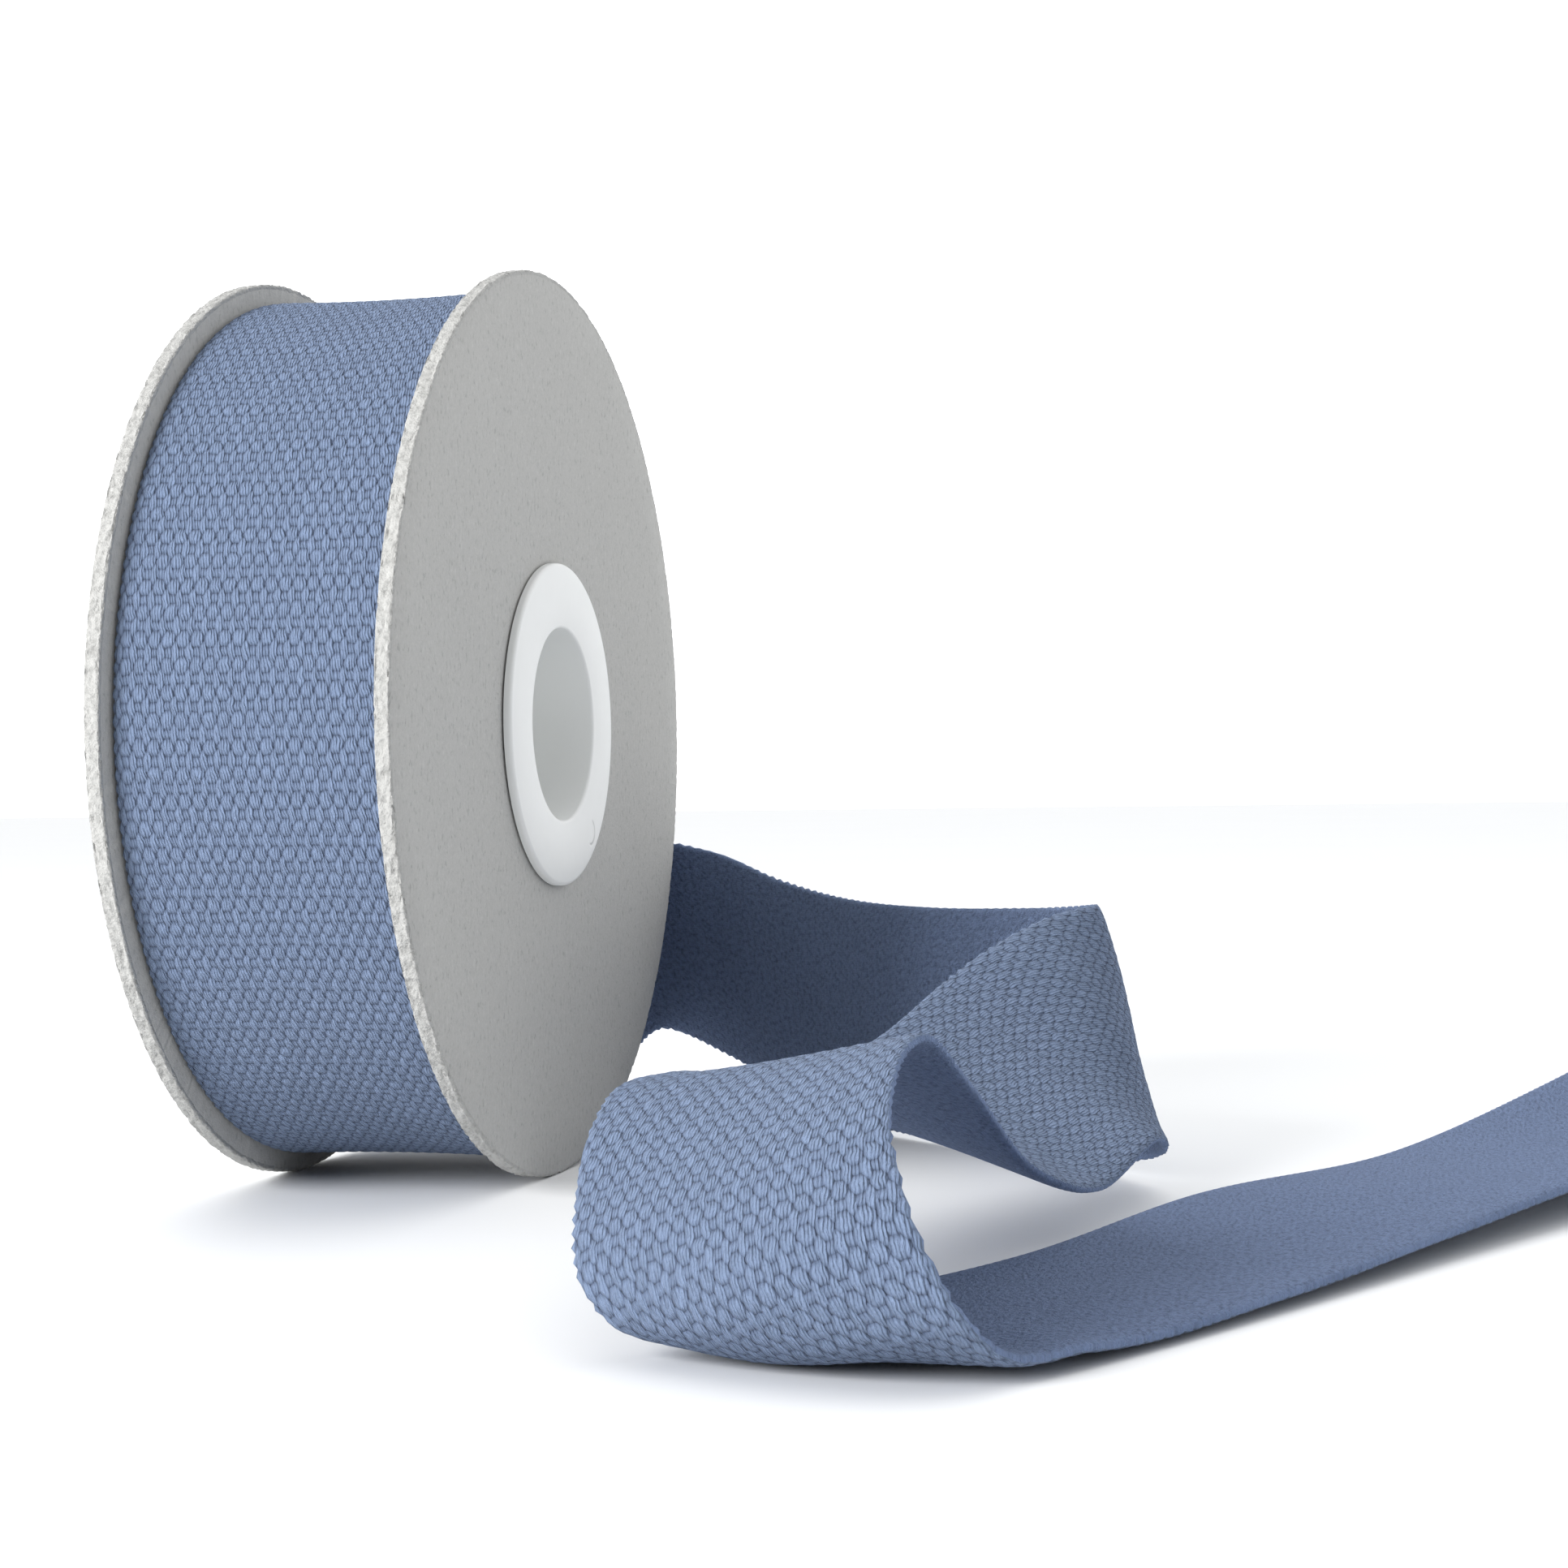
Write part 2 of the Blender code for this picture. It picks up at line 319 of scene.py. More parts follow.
class Shader:
    """A node material under construction, with short calls for its sums and mixes."""

    def __init__(self, name):
        self.material = bpy.data.materials.new(name)
        self.material.use_nodes = True
        self.tree = self.material.node_tree
        self.principled = self.tree.nodes["Principled BSDF"]

    def node(self, kind, **settings):
        made = self.tree.nodes.new(kind)
        for key, value in settings.items():
            setattr(made, key, value)
        return made

    def feed(self, socket, value):
        if isinstance(value, bpy.types.NodeSocket):
            self.tree.links.new(value, socket)
        else:
            socket.default_value = value

    def math(self, operation, *values):
        made = self.node("ShaderNodeMath", operation=operation)
        for socket, value in zip(made.inputs, values):
            self.feed(socket, value)
        return made.outputs[0]

    def plus(self, first, second):
        return self.math("ADD", first, second)

    def minus(self, first, second):
        return self.math("SUBTRACT", first, second)

    def times(self, first, second):
        return self.math("MULTIPLY", first, second)

    def wave(self, value, turns):
        """The sine of a value that makes this many turns a unit."""
        return self.math("SINE", self.times(value, 2 * math.pi * turns))

    def reach(self, first, second):
        """How far a place lies from a point, from its distances along two axes."""
        return self.math("SQRT", self.plus(self.times(first, first), self.times(second, second)))

    def noise(self, coordinates, scale, detail, roughness=0.5):
        made = self.node("ShaderNodeTexNoise")
        self.feed(made.inputs["Vector"], coordinates)
        made.inputs["Scale"].default_value = scale
        made.inputs["Detail"].default_value = detail
        made.inputs["Roughness"].default_value = roughness
        return made.outputs[0]

    def spread(self, value, low, high, to_low=0.0, to_high=1.0):
        """The value mapped from one range to another, and held inside it."""
        made = self.node("ShaderNodeMapRange")
        for number, given in enumerate((value, low, high, to_low, to_high)):
            self.feed(made.inputs[number], given)
        return made.outputs[0]

    def mix(self, share, first, second):
        """The first colour with a share of the second."""
        made = self.node("ShaderNodeMix", data_type="RGBA")
        self.feed(made.inputs["Factor"], share)
        for socket, colour in ((made.inputs[6], first), (made.inputs[7], second)):
            self.feed(socket, colour if isinstance(colour, bpy.types.NodeSocket) else (*colour, 1.0))
        return made.outputs[2]

    def bump(self, height, strength, distance):
        made = self.node("ShaderNodeBump")
        made.inputs["Strength"].default_value = strength
        made.inputs["Distance"].default_value = distance
        self.feed(made.inputs["Height"], height)
        return made.outputs[0]

    def finish(self, colour, roughness, normal):
        self.feed(self.principled.inputs["Base Color"], colour)
        self.feed(self.principled.inputs["Roughness"], roughness)
        self.feed(self.principled.inputs["Normal"], normal)
        return self.material

    def place(self):
        return self.node("ShaderNodeTexCoord").outputs["Object"]

    def moved(self, coordinates, location=(0.0, 0.0, 0.0), scale=(1.0, 1.0, 1.0)):
        """The coordinates shifted and stretched."""
        made = self.node("ShaderNodeMapping")
        self.feed(made.inputs["Vector"], coordinates)
        made.inputs["Location"].default_value = location
        made.inputs["Scale"].default_value = scale
        return made.outputs[0]

    def parts(self, coordinates):
        """The x, y and z of coordinates."""
        made = self.node("ShaderNodeSeparateXYZ")
        self.feed(made.inputs[0], coordinates)
        return made.outputs

    def weave_place(self):
        """The column and the period on the webbing, as two values."""
        column, period, _ = self.parts(self.node("ShaderNodeUVMap", uv_map="Weave").outputs[0])
        return column, period

    def wander(self, place, scale, amount, offset=0.0):
        """A small uneven shift about 0, so that no two yarns are alike."""
        uneven = self.noise(self.moved(place, location=(offset, offset, offset)), scale, detail=1.0)
        return self.times(self.minus(uneven, 0.5), amount)

    def yarn_vector(self, column, period, across, lean, along):
        """A place drawn out along the fibres of the leaning ply twist."""
        made = self.node("ShaderNodeCombineXYZ")
        self.feed(made.inputs[0], self.plus(self.times(column, across), self.times(period, lean)))
        self.feed(made.inputs[1], self.times(period, along))
        return made.outputs[0]

    def dome(self, column, period, shift, half_width, half_length):
        """Height of a round-topped yarn that shows once in each cell, 0 outside it."""
        squares = []
        for value, offset, half in zip((column, period), shift, (half_width, half_length)):
            inside = self.minus(self.math("FRACT", self.plus(value, offset)), 0.5)
            share = self.math("ABSOLUTE", self.math("DIVIDE", inside, half))
            squares.append(self.math("POWER", share, 2.0))
        left = self.minus(1.0, self.plus(*squares))
        return self.math("SQRT", self.math("MAXIMUM", left, 0.0))


def add_disc(name, low, high, seed):
    """A grey board disc with a slightly frayed rim, standing on a short flat."""
    rim = DISC_RADIUS
    soft = BOARD_EDGE_ROUND
    side_radii = np.linspace(HOLE_RADIUS, rim - soft, 9)
    profile = [(low, HOLE_RADIUS), (high, HOLE_RADIUS)]
    profile += [(high, radius) for radius in side_radii[1:]]
    profile += arc((high - soft, rim - soft), soft, 45, 90, 3)
    profile += [(x, rim) for x in np.linspace(high - soft, low + soft, 6)[1:-1]]
    profile += arc((low + soft, rim - soft), soft, 90, 135, 3)
    profile += [(low, radius) for radius in side_radii[:0:-1]]
    points = turn_profile(profile, DISC_SEGMENTS)
    near_rim = np.array([radius > rim - 2 * soft for _, radius in profile])
    rough = np.random.default_rng(seed)
    depth = bpy.context.scene.webbing.rim_fray / MM
    fray = rough.random((DISC_SEGMENTS, len(profile))) ** 2 * depth * near_rim
    fray[:, near_rim] += RIM_NICK_DEPTH * rough.random((DISC_SEGMENTS, 1)) ** 3
    radius = np.linalg.norm(points[:, :, 1:], axis=2, keepdims=True)
    points[:, :, 1:] *= 1 - fray[:, :, None] / radius
    flat = AXIS_HEIGHT - math.sqrt(rim**2 - (REST_FLAT_LENGTH / 2) ** 2)
    height = np.maximum(points[:, :, 2] + AXIS_HEIGHT, flat)
    points[:, :, 2] = np.where(height < flat + REST_FLAT_REACH, 0.0, height)
    points = points.reshape(-1, 3)
    faces = outward(turned_faces(DISC_SEGMENTS, len(profile)), points)
    disc = add_mesh(name, points, faces, smooth_angle=50)
    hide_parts(name)
    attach(disc, "root")
    return disc


def board_material():
    """Grey board with fine fibre flecks and a paler, rougher rim."""
    base = bpy.context.scene.webbing.board_colour
    shader = Shader("grey_board")
    place = shader.place()
    cloud = shader.noise(place, scale=60.0, detail=4.0, roughness=0.6)
    grain = shader.noise(place, scale=2400.0, detail=3.0, roughness=0.7)
    ragged = shader.noise(place, scale=900.0, detail=3.0, roughness=0.7)
    drawn_out = shader.moved(place, scale=(1.0, 1.6, 1.0))
    flecks = shader.noise(drawn_out, scale=800.0, detail=3.0, roughness=0.65)
    pale_grain = shader.spread(grain, 0.35, 0.65, to_high=0.6)
    dark_flecks = shader.spread(flecks, 0.33, 0.42, to_low=0.4, to_high=0.0)
    pale_flecks = shader.spread(flecks, 0.58, 0.7, to_high=0.45)
    colour = shader.mix(cloud, shade(base, 0.95), shade(base, 1.05))
    colour = shader.mix(pale_grain, colour, shade(base, 1.15))
    colour = shader.mix(dark_flecks, colour, shade(base, 0.5))
    colour = shader.mix(pale_flecks, colour, shade(base, 1.3))
    _, aside, height = shader.parts(place)
    radius = shader.reach(shader.minus(height, AXIS_HEIGHT * MM), aside)
    wavering = shader.plus(radius, shader.times(ragged, RIM_WAVER * MM))
    rim = shader.spread(wavering, (DISC_RADIUS - RIM_BAND) * MM, DISC_RADIUS * MM)
    edge = shader.mix(shader.spread(ragged, 0.3, 0.55), shade(base, 0.7), shade(base, 1.12))
    colour = shader.mix(shader.times(rim, 0.85), colour, edge)
    torn = shader.times(shader.times(rim, ragged), 5.0)
    normal = shader.bump(shader.plus(grain, torn), strength=0.6, distance=0.18 * MM)
    return shader.finish(colour, 0.92, normal)


def add_hub():
    """The white hub, with a rounded ring at each end of its tube."""
    near = HUB_HIGH[0]
    far = HUB_LOW[0]
    near_seat = NEAR_HIGH[0] + HUB_SEAT_GAP
    far_seat = FAR_LOW[0] - HUB_SEAT_GAP
    ring = HUB_RING_RADIUS
    edge = HUB_EDGE_ROUND
    lip = HUB_LIP_ROUND
    profile = [(far_seat, HUB_TUBE_RADIUS), (near_seat, HUB_TUBE_RADIUS)]
    profile += [(near_seat, ring), *arc((near - edge, ring - edge), edge, 90, 0, 5)]
    profile += arc((near - lip, BORE_RADIUS + lip), lip, 0, -90, 5)
    profile += [(x, BORE_RADIUS) for x in np.linspace(near - lip, far + lip, 6)[1:-1]]
    profile += arc((far + lip, BORE_RADIUS + lip), lip, -90, -180, 5)
    profile += [*arc((far + edge, ring - edge), edge, 180, 90, 5), (far_seat, ring)]
    points = turn_profile(profile, HUB_SEGMENTS)
    points[:, :, 2] += AXIS_HEIGHT
    points = points.reshape(-1, 3)
    faces = outward(turned_faces(HUB_SEGMENTS, len(profile)), points)
    hub = add_mesh("hub_plastic", points, faces, smooth_angle=40)
    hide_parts("hub")
    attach(hub, "root")
    return hub


def hub_material():
    """Satin white plastic with one round moulding ring, drawn as a thin line with painted shade on one
    side of it.
    """
    base = bpy.context.scene.webbing.hub_colour
    shader = Shader("white_plastic")
    place = shader.place()
    cloud = shader.noise(place, scale=90.0, detail=2.0)
    fine = shader.noise(place, scale=500.0, detail=2.0)
    _, across, height = shader.parts(place)
    aside = shader.minus(across, GATE_MARK_Y * MM)
    up = shader.minus(height, GATE_MARK_Z * MM)
    off_line = shader.math("ABSOLUTE", shader.minus(shader.reach(aside, up), GATE_MARK_RADIUS * MM))
    line = shader.spread(off_line, 0.0, GATE_MARK_WIDTH * MM, to_low=1.0, to_high=0.0)
    # Painted shade: only one side of the moulding ring is darkened, as shade in its groove.
    shaded_side = shader.spread(shader.minus(aside, shader.times(up, 0.4)), -0.4 * MM, 0.6 * MM)
    ring_and_shade = shader.times(line, shaded_side)
    colour = shader.mix(cloud, shade(base, 0.97), base)
    # Painted shade laid on one side of the moulding ring.
    colour = shader.mix(shader.times(ring_and_shade, 0.6), colour, shade(base, 0.6))
    relief = shader.minus(shader.times(fine, 0.15), ring_and_shade)
    roughness = shader.spread(fine, 0.3, 0.7, to_low=0.34, to_high=0.42)
    return shader.finish(colour, roughness, shader.bump(relief, strength=0.35, distance=0.25 * MM))


def dome_height(column, period, shift, half_width, half_length):
    """Height of a round-topped yarn on the mesh, as the material has it."""
    across = ((column + shift[0]) % 1 - 0.5) / half_width
    along = ((period + shift[1]) % 1 - 0.5) / half_length
    return np.sqrt(np.maximum(0, 1 - across**2 - along**2))


def face_height(column, period):
    """Height of the woven face on the mesh, 0 in the gaps and 1 on the yarns."""
    heights = [
        height * dome_height(column, period, shift, width, length)
        for _, shift, width, length, height in FACE_YARNS
    ]
    return np.max(heights, axis=0)


def back_height(column, period):
    """Height of the fuzzier back on the mesh, a low ripple of short yarns."""
    return 0.5 + 0.5 * np.sin(2 * math.pi * column) * np.cos(4 * math.pi * period)


def selvedge_bead(period, depth):
    """How far the selvedge lies inside its outermost loops, 0 on a loop and minus depth between two."""
    return depth * (np.abs(np.cos(2 * math.pi * period)) - 1)


def woven_relief(shader, column, period):
    """Height of the woven face in its material, with the split between paired yarns."""
    heights = [
        shader.times(shader.dome(column, period, shift, width, length), height)
        for _, shift, width, length, height in FACE_YARNS
    ]
    single, paired, weft = heights
    highest = shader.math("MAXIMUM", shader.math("MAXIMUM", single, paired), weft)
    off_split = shader.math("ABSOLUTE", shader.minus(shader.math("FRACT", shader.plus(column, 0.5)), 0.5))
    split = shader.spread(off_split, 0.0, PAIR_SPLIT_WIDTH, to_low=PAIR_SPLIT_DEPTH, to_high=0.0)
    return shader.minus(highest, shader.times(split, paired))


def tufted_relief(shader, column, period):
    """Height of the fuzzy back in its material, loose tufts over a low ripple."""
    ripple = shader.times(shader.wave(column, 2), shader.wave(period, 2))
    lying = shader.yarn_vector(column, period, *BACK_TUFTS)
    tufts = shader.noise(lying, scale=1.0, detail=4.0, roughness=0.65)
    return shader.plus(shader.times(ripple, 0.12), shader.spread(tufts, 0.3, 0.6))


def cotton_material(name, yarn, look, relief_of):
    """Dyed cotton of a yarn colour, with the look and the relief of one side of the webbing, painted shade
    in its gaps and grooves and a painted highlight along its selvedges.
    """
    shader = Shader(name)
    place = shader.place()
    column, period = shader.weave_place()
    column = shader.plus(column, shader.wander(place, 520.0, 0.34))
    period = shader.plus(period, shader.wander(place, 460.0, 0.2, 5.0))
    fuzz = shader.noise(place, scale=3200.0, detail=4.0, roughness=0.7)
    patches = shader.noise(place, scale=120.0, detail=3.0, roughness=0.6)
    twist = shader.yarn_vector(column, period, *look["fibres"])
    fibres = shader.noise(twist, scale=1.0, detail=3.0, roughness=0.65)
    leaning = shader.plus(shader.times(column, STRANDS_A_COLUMN), shader.times(period, STRAND_LEAN))
    strands = shader.times(shader.times(shader.wave(leaning, 1), fibres), look["strand_relief"])
    height = relief_of(shader, column, period)
    pale_fibres = shader.spread(fibres, 0.35, 0.7, to_high=0.5)
    dark_fuzz = shader.spread(fuzz, 0.3, 0.5, to_low=0.5, to_high=0.0)
    # Painted shade in the grooves between the leaning strands, where the strand ripple is low.
    strand_groove_shade = shader.spread(strands, -0.18, 0.04, to_low=0.4, to_high=0.0)
    lit = shader.mix(patches, shade(yarn, 0.9), shade(yarn, 1.1))
    lit = shader.mix(pale_fibres, lit, shade(yarn, 1.4))
    lit = shader.mix(dark_fuzz, lit, shade(yarn, 0.5))
    lit = shader.mix(strand_groove_shade, lit, shade(yarn, 0.6))
    # Painted shade: low places of the weave take the dark gap shade colour, giving way to the yarn colour
    # as they rise.
    unshaded_share = shader.spread(height, *look["gap_shade_heights"], to_low=look["gap_shade_cover"])
    colour = shader.mix(unshaded_share, bpy.context.scene.webbing.gap_shade_colour, lit)
    # Painted highlight: both selvedges are lightened in a narrow band.
    half = WEAVE_COLUMNS / 2
    off_middle = shader.math("ABSOLUTE", shader.minus(column, half))
    selvedge = shader.spread(off_middle, half - SELVEDGE_HIGHLIGHT_BAND[0], half - SELVEDGE_HIGHLIGHT_BAND[1], to_high=0.4)
    colour = shader.mix(selvedge, colour, shade(yarn, 1.5))
    relief = shader.plus(height, shader.times(fibres, look["fibre_relief"]))
    relief = shader.plus(relief, shader.times(fuzz, look["fuzz_relief"]))
    relief = shader.plus(relief, strands)
    shader.principled.inputs["Sheen Weight"].default_value = 0.05
    shader.principled.inputs["Sheen Roughness"].default_value = 0.6
    shader.principled.inputs["Specular IOR Level"].default_value = 0.15
    return shader.finish(colour, 0.9, shader.bump(relief, strength=1.0, distance=0.6 * MM))


def face_material():
    """The woven face, made once for the roll and the drawn-out end."""
    made = bpy.data.materials.get("cotton_face")
    colour = bpy.context.scene.webbing.yarn_colour
    return made or cotton_material("cotton_face", colour, FACE_LOOK, woven_relief)


def back_material():
    """The fuzzier back of the webbing."""
    return cotton_material("cotton_back", bpy.context.scene.webbing.back_colour, BACK_LOOK, tufted_relief)


def close_weave(piece, periods):
    """Carry the count of periods on over the last faces of a turned piece, which end at its first row."""
    layer = piece.data.uv_layers["Weave"]
    values = np.empty(len(piece.data.loops) * 2, dtype=np.float32)
    layer.data.foreach_get("uv", values)
    values = values.reshape(-1, 4, 2)
    wrapped = np.ptp(values[:, :, 1], axis=1) > 2
    first_row = values[wrapped][:, :, 1:] < 2
    values[wrapped] += np.where(first_row, 1, 0) * np.array([0, periods], dtype=np.float32)
    layer.data.foreach_set("uv", values.ravel())


def add_roll():
    """The wound webbing: its outer turn with the weave, closed round the core."""
    yarn_height = bpy.context.scene.webbing.yarn_height / MM
    columns = WEAVE_COLUMNS * ROLL_QUADS_A_COLUMN
    periods = round(2 * math.pi * ROLL_RADIUS / WEAVE_PERIOD)
    steps = periods * ROLL_QUADS_A_PERIOD
    column = np.linspace(0, WEAVE_COLUMNS, columns + 1)
    period = np.arange(steps) / ROLL_QUADS_A_PERIOD
    share = 2 * column / WEAVE_COLUMNS - 1
    fall = ROLL_MIDDLE_SAG * (1 - share**2) + ROLL_EDGE_ROUND * np.abs(share) ** ROLL_EDGE_POWER
    gaps = 1 - face_height(column[None, :], period[:, None])
    radius = ROLL_RADIUS - yarn_height * gaps - fall[None, :]
    half_width = np.full((steps, columns + 1), WEBBING_WIDTH / 2)
    for side in (0, -1):
        half_width[:, side] += selvedge_bead(period, ROLL_BEAD)
    angle = -2 * math.pi * np.arange(steps) / steps - math.pi / 2
    outer = np.empty((steps, columns + 1, 3))
    outer[:, :, 0] = ROLL_MIDDLE + share[None, :] * half_width
    outer[:, :, 1] = radius * np.cos(angle)[:, None]
    outer[:, :, 2] = radius * np.sin(angle)[:, None] + AXIS_HEIGHT
    inner = np.empty((steps, 2, 3))
    inner[:, 0, 0] = ROLL_MIDDLE + WEBBING_WIDTH / 2 - ROLL_BEAD
    inner[:, 1, 0] = ROLL_MIDDLE - WEBBING_WIDTH / 2 + ROLL_BEAD
    inner[:, :, 1] = ROLL_CORE_RADIUS * np.cos(angle)[:, None]
    inner[:, :, 2] = ROLL_CORE_RADIUS * np.sin(angle)[:, None] + AXIS_HEIGHT
    points = np.concatenate([outer, inner], axis=1)
    count = points.shape[1]
    uv = np.zeros((steps, count, 2))
    uv[:, : columns + 1, 0] = column[None, :]
    uv[:, columns + 1 :, 0] = WEAVE_COLUMNS
    uv[:, :, 1] = period[:, None]
    points = points.reshape(-1, 3)
    faces = outward(turned_faces(steps, count), points)
    roll = add_mesh("wound_webbing", points, faces, uv.reshape(-1, 2))
    close_weave(roll, periods)
    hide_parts("webbing_roll")
    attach(roll, "root")
    return roll


def smooth_rows(rows, along, stations):
    """Rows at the given stations on a smooth curve through the given ones."""
    slopes = np.gradient(rows, along, axis=0)
    place = np.clip(np.searchsorted(along, stations, side="right") - 1, 0, len(along) - 2)
    length = (along[place + 1] - along[place])[:, None]
    part = (stations[:, None] - along[place][:, None]) / length
    start = (1 + 2 * part) * (1 - part) ** 2
    end = part**2 * (3 - 2 * part)
    leaving = part * (1 - part) ** 2 * length
    arriving = part**2 * (part - 1) * length
    return (
        start * rows[place]
        + end * rows[place + 1]
        + leaving * slopes[place]
        + arriving * slopes[place + 1]
    )


def run_length(path):
    """How far each point of a path lies along it."""
    return np.append(0, np.cumsum(np.linalg.norm(np.diff(path, axis=0), axis=1)))


def tail_rows():
    """Rows of middle, line across and bulge, evenly spaced along the drawn-out end, and their stations."""
    folds = {name: np.array(values) for name, values in zip(TAIL_COLUMNS, zip(*TAIL_FOLDS))}
    middle = np.stack([folds["x"], folds["y"], folds["z"]], axis=1)
    across = unit(np.stack([folds["across_x"], folds["across_y"], folds["across_z"]], axis=1))
    along = run_length(middle)
    rows = np.hstack([middle, across, folds["bulge"][:, None]])
    fine = smooth_rows(rows, along, np.linspace(0, along[-1], TAIL_FINE_STEPS))
    run = run_length(fine[:, 0:3])
    periods = round(run[-1] / WEAVE_PERIOD)
    stations = np.linspace(0, run[-1], periods * TAIL_QUADS_A_PERIOD + 1)
    even = np.stack([np.interp(stations, run, values) for values in fine.T], axis=1)
    return even, stations


def tail_surface(column, rows, stations):
    """Middle of the thickness of the drawn-out end, by row and column, and the period at each place."""
    middle = rows[:, 0:3] + np.array([TAIL_SHIFT, 0, 0])
    across = unit(rows[:, 3:6])
    bulge = rows[:, 6]
    back = unit(np.cross(across, np.gradient(middle, axis=0)))
    share = 2 * column / WEAVE_COLUMNS - 1
    surface = (
        middle[:, None, :]
        + across[:, None, :] * share[None, :, None] * WEBBING_WIDTH / 2
        - back[:, None, :] * (bulge[:, None] * (1 - share**2)[None, :])[:, :, None]
    )
    run = np.zeros(surface.shape[:2])
    run[1:] = np.cumsum(np.linalg.norm(np.diff(surface, axis=0), axis=2), axis=0)
    half_way = len(stations) // 2
    crest = half_way + np.argmax(middle[half_way:, 2])
    period = (run - run[crest] + stations[crest]) / WEAVE_PERIOD
    for side in (0, -1):
        surface[:, side] += across * share[side] * selvedge_bead(period[:, side], TAIL_BEAD)[:, None]
    return surface, period


def add_tail():
    """The drawn-out end: one sheet with the woven face on one side and the fuzzy back on the other."""
    rows, stations = tail_rows()
    column = np.linspace(0, WEAVE_COLUMNS, WEAVE_COLUMNS * TAIL_QUADS_A_COLUMN + 1)
    share = 2 * column / WEAVE_COLUMNS - 1
    surface, period = tail_surface(column, rows, stations)
    normals = unit(np.cross(np.gradient(surface, axis=1), np.gradient(surface, axis=0)))
    thick = WEBBING_THICKNESS / 2 - TAIL_EDGE_ROUND * np.abs(share) ** TAIL_EDGE_POWER
    yarn_height = bpy.context.scene.webbing.yarn_height / MM
    face = thick - yarn_height * (1 - face_height(column[None, :], period))
    fuzz = thick - BACK_RELIEF * (1 - back_height(column[None, :], period))
    top = surface + normals * fuzz[:, :, None]
    under = surface - normals * face[:, :, None]
    points = np.vstack([top.reshape(-1, 3), under.reshape(-1, 3)])
    number = np.arange(period.size).reshape(period.shape)
    first, second, third, fourth = number[:-1, :-1], number[:-1, 1:], number[1:, 1:], number[1:, :-1]
    top_faces = np.stack([first, second, third, fourth], axis=-1).reshape(-1, 4)
    under_faces = np.stack([first, fourth, third, second], axis=-1).reshape(-1, 4) + number.size
    rim = np.concatenate([number[:, 0], number[-1, 1:], number[-2::-1, -1], number[0, -2:0:-1]])
    following = np.roll(rim, -1)
    edge_faces = np.stack([rim, following, following + number.size, rim + number.size], axis=-1)
    faces = np.concatenate([top_faces, under_faces, edge_faces]).tolist()
    uv = np.stack(np.broadcast_arrays(column[None, :], period), axis=-1).reshape(-1, 2)
    faces = outward(faces, points)
    tail = add_mesh("drawn_out_webbing", points, faces, np.vstack([uv, uv]), smooth_angle=80)
    woven = np.zeros(len(faces), dtype=np.int32)
    woven[len(top_faces) : len(top_faces) + len(under_faces)] = 1
    tail.data.polygons.foreach_set("material_index", woven)
    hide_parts("webbing_tail")
    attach(tail, "root")
    return tail


def add_floor():
    """The white floor, a little uneven."""
    corners = ((-1, -1), (1, -1), (1, 1), (-1, 1))
    mesh = bpy.data.meshes.new("floor")
    mesh.from_pydata([(x * FLOOR_REACH, y * FLOOR_REACH, 0.0) for x, y in corners], [], [(0, 1, 2, 3)])
    floor = bpy.data.objects.new("floor", mesh)
    bpy.context.scene.collection.objects.link(floor)
    shader = Shader("white_floor")
    cloud = shader.noise(shader.place(), scale=4.0, detail=2.0)
    colour = shader.mix(cloud, (0.9, 0.905, 0.91), (0.92, 0.925, 0.93))
    give(floor, shader.finish(colour, 0.6, shader.bump(cloud, strength=0.02, distance=0.5 * MM)))


def soft_light(name, place, target, size, power):
    """A large square light at place, aimed at target, in metres."""
    lamp = bpy.data.lights.new(name, "AREA")
    lamp.shape = "SQUARE"
    lamp.size = size
    lamp.energy = power
    made = bpy.data.objects.new(name, lamp)
    made.location = place
    made.rotation_euler = (Vector(target) - Vector(place)).to_track_quat("-Z", "Y").to_euler()
    bpy.context.scene.collection.objects.link(made)


def white_room(front, back):
    """A white world that is brighter behind the roll than in front of it."""
    world = bpy.data.worlds.new("white room")
    world.use_nodes = True
    tree = world.node_tree
    apart = tree.nodes.new("ShaderNodeSeparateXYZ")
    tree.links.new(tree.nodes.new("ShaderNodeTexCoord").outputs["Generated"], apart.inputs[0])
    blend = tree.nodes.new("ShaderNodeMapRange")
    tree.links.new(apart.outputs[1], blend.inputs[0])
    for number, value in enumerate((*ROOM_BLEND, front, back)):
        blend.inputs[number + 1].default_value = value
    background = tree.nodes["Background"]
    tree.links.new(blend.outputs[0], background.inputs["Strength"])
    background.inputs["Color"].default_value = ROOM_COLOUR
    return world


def add_camera():
    """The camera, level, turned and slightly rolled as it was for the picture."""
    lens = bpy.data.cameras.new("camera")
    lens.lens = CAMERA_LENS
    lens.sensor_width = CAMERA_SENSOR
    lens.clip_start = CAMERA_NEAREST
    camera = bpy.data.objects.new("camera", lens)
    forward = Vector((math.sin(CAMERA_YAW), math.cos(CAMERA_YAW), 0))
    level = Vector((math.cos(CAMERA_YAW), -math.sin(CAMERA_YAW), 0))
    right = level * math.cos(CAMERA_ROLL) + Vector((0, 0, 1)) * math.sin(CAMERA_ROLL)
    turn = Matrix((right, right.cross(forward), -forward)).transposed().to_4x4()
    camera.matrix_world = Matrix.Translation(Vector(CAMERA_PLACE) * MM) @ turn
    bpy.context.scene.collection.objects.link(camera)
    return camera


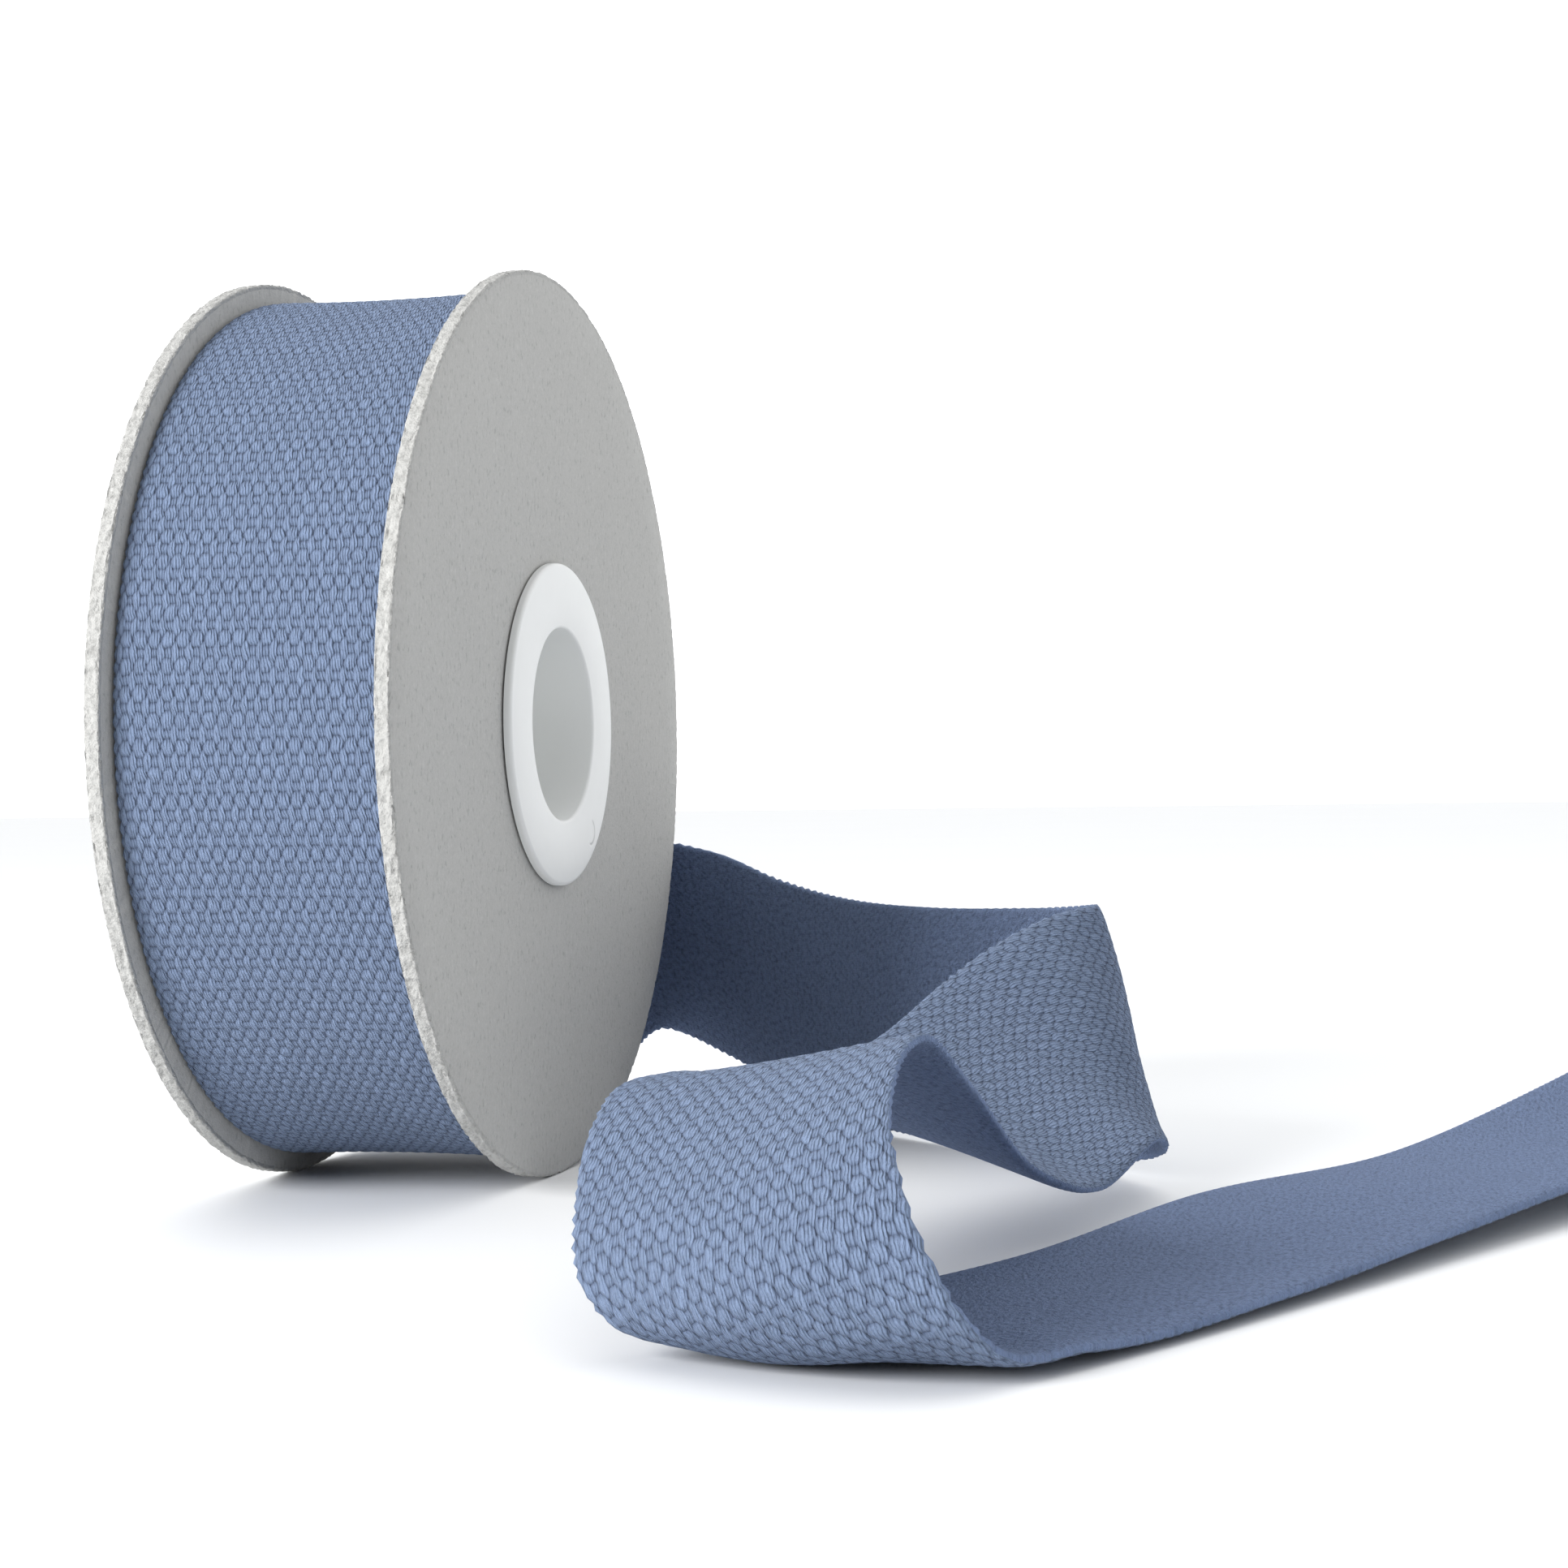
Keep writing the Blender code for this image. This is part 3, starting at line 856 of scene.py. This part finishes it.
class WEBBING_OT_add_discs(bpy.types.Operator):
    """Add the two grey board discs."""

    bl_idname = "webbing.add_discs"
    bl_label = "Add discs"

    def execute(self, context):
        board = board_material()
        give(add_disc("disc_near", NEAR_LOW[0], NEAR_HIGH[0], RANDOM_SEED + 1), board)
        give(add_disc("disc_far", FAR_LOW[0], FAR_HIGH[0], RANDOM_SEED + 2), board)
        return {"FINISHED"}


class WEBBING_OT_add_hub(bpy.types.Operator):
    """Add the white plastic hub."""

    bl_idname = "webbing.add_hub"
    bl_label = "Add hub"

    def execute(self, context):
        give(add_hub(), hub_material())
        return {"FINISHED"}


class WEBBING_OT_add_roll(bpy.types.Operator):
    """Add the wound webbing."""

    bl_idname = "webbing.add_roll"
    bl_label = "Add wound webbing"

    def execute(self, context):
        give(add_roll(), face_material())
        return {"FINISHED"}


class WEBBING_OT_add_tail(bpy.types.Operator):
    """Add the drawn-out end of the webbing."""

    bl_idname = "webbing.add_tail"
    bl_label = "Add drawn-out webbing"

    def execute(self, context):
        give(add_tail(), back_material(), face_material())
        return {"FINISHED"}


class WEBBING_OT_set_stage(bpy.types.Operator):
    """Set the white floor, the soft light, the white room and the camera."""

    bl_idname = "webbing.set_stage"
    bl_label = "Set stage"

    def execute(self, context):
        scene = context.scene
        settings = scene.webbing
        add_floor()
        soft_light("key light", KEY_LIGHT_PLACE, KEY_LIGHT_TARGET, KEY_LIGHT_SIZE, settings.key_power)
        scene.world = white_room(settings.front_light, settings.back_light)
        scene.view_settings.view_transform = "Standard"
        scene.camera = add_camera()
        return {"FINISHED"}


class WEBBING_PT_panel(bpy.types.Panel):
    """Lists the settings and the steps that build the roll and its stage."""

    bl_label = "Webbing roll"
    bl_idname = "WEBBING_PT_panel"
    bl_space_type = "VIEW_3D"
    bl_region_type = "UI"
    bl_category = "Webbing"

    def draw(self, context):
        for name in WebbingSettings.__annotations__:
            self.layout.prop(context.scene.webbing, name)
        for step in STEPS:
            self.layout.operator(step.bl_idname)


STEPS = (
    WEBBING_OT_add_discs,
    WEBBING_OT_add_hub,
    WEBBING_OT_add_roll,
    WEBBING_OT_add_tail,
    WEBBING_OT_set_stage,
)
CLASSES = (WebbingSettings, *STEPS, WEBBING_PT_panel)


def register():
    for kind in CLASSES:
        bpy.utils.register_class(kind)
    bpy.types.Scene.webbing = bpy.props.PointerProperty(type=WebbingSettings)


def unregister():
    del bpy.types.Scene.webbing
    for kind in reversed(CLASSES):
        bpy.utils.unregister_class(kind)


def main():
    register()
    bpy.ops.webbing.add_discs()
    bpy.ops.webbing.add_hub()
    bpy.ops.webbing.add_roll()
    bpy.ops.webbing.add_tail()
    bpy.ops.webbing.set_stage()


if __name__ == "__main__":
    main()
